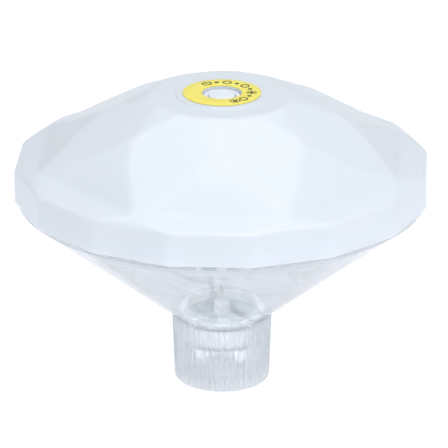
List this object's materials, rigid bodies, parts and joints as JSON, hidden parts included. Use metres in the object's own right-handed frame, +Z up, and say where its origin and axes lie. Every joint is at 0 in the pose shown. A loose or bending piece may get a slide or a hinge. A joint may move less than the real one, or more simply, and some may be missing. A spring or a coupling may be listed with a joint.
{
  "type": "floating pool light",
  "caption": "Faceted floating pool light: white float cover with a push button, clear cone below it, and a ribbed clear lens cap over downward LEDs.",
  "frame": {"origin": "centre of the flat foot of the lens cap, which the light stands on", "axes": "+Z up along the common axis of the cap, cone, cover and button; -Y is the middle of one of the cover's eight sectors; +X is the way the battery door slides"},
  "size_m": [0.167, 0.167, 0.1243],
  "materials": {
    "frosted_white": "milky moulded plastic, satin",
    "white_plastic": "moulded, satin",
    "clear_plastic": "clear moulded plastic, polished",
    "yellow_print": "printed label film",
    "button_white": "moulded, satin",
    "silicone": "soft silicone, matte",
    "black_rubber": "matte",
    "board_green": "solder mask, satin",
    "chip_black": "moulded, matte",
    "steel": "nickel plated",
    "led_clear": "clear epoxy, polished",
    "cell_wrap": "printed film on a metal can",
    "wire_red": "soft insulation",
    "wire_black": "soft insulation",
    "wire_grey": "soft insulation"
  },
  "bodies": {
    "cap": {"lens_cap": "clear_plastic"},
    "hull": {"lower_shell": "clear_plastic", "rim_seal": "silicone", "neck_seal": "silicone", "lamp_housing": "white_plastic", "led_board": "white_plastic", "driver_board": "board_green", "led_1": "led_clear", "led_2": "led_clear", "led_3": "led_clear", "led_4": "led_clear", "driver_chip": "chip_black", "driver_capacitor": "steel", "lead_socket": "white_plastic", "board_pin_1": "steel", "board_pin_2": "steel"},
    "cover": {"top_cover": "frosted_white", "label_ring": "yellow_print", "button_boot": "silicone", "boot_retainer": "white_plastic", "switch_board": "board_green", "switch_shell": "chip_black", "board_screw_1": "steel", "board_screw_2": "steel", "deck_plate": "white_plastic", "deck_screw_1": "steel", "deck_screw_2": "steel", "deck_screw_3": "steel", "deck_screw_4": "steel", "lead_grommet": "black_rubber", "battery_box": "white_plastic", "box_screw_1": "steel", "box_screw_2": "steel", "battery_1": "cell_wrap", "battery_2": "cell_wrap", "battery_3": "cell_wrap", "contact_spring_1": "steel", "contact_spring_2": "steel", "contact_spring_3": "steel", "contact_plate_1": "steel", "contact_plate_2": "steel", "contact_plate_3": "steel", "contact_plate_4": "steel", "supply_wire_red": "wire_red", "supply_wire_black": "wire_black", "lamp_wire_1": "wire_grey", "lamp_wire_2": "wire_grey", "lead_plug": "white_plastic"},
    "door": {"battery_door": "white_plastic"},
    "button": {"power_button": "button_white", "switch_plunger": "chip_black"}
  },
  "joints": [
    {"name": "lens_cap_twist", "type": "hinge", "parent": "cap", "child": "hull", "pos_m": [0, 0, 0.0297], "axis": [0, 0, 1], "range_deg": [0, 30]},
    {"name": "cover_twist", "type": "hinge", "parent": "hull", "child": "cover", "pos_m": [0, 0, 0.0813], "axis": [0, 0, 1], "range_deg": [0, 22]},
    {"name": "battery_door_slide", "type": "slide", "parent": "cover", "child": "door", "axis": [1, 0, 0], "range_m": [0, 0.008]},
    {"name": "power_button_press", "type": "slide", "parent": "cover", "child": "button", "axis": [0, 0, -1], "range_m": [0, 0.0008], "stiffness_N_per_m": 1500, "springref_m": -0.0002, "deforming": ["button_boot"]}
  ]
}
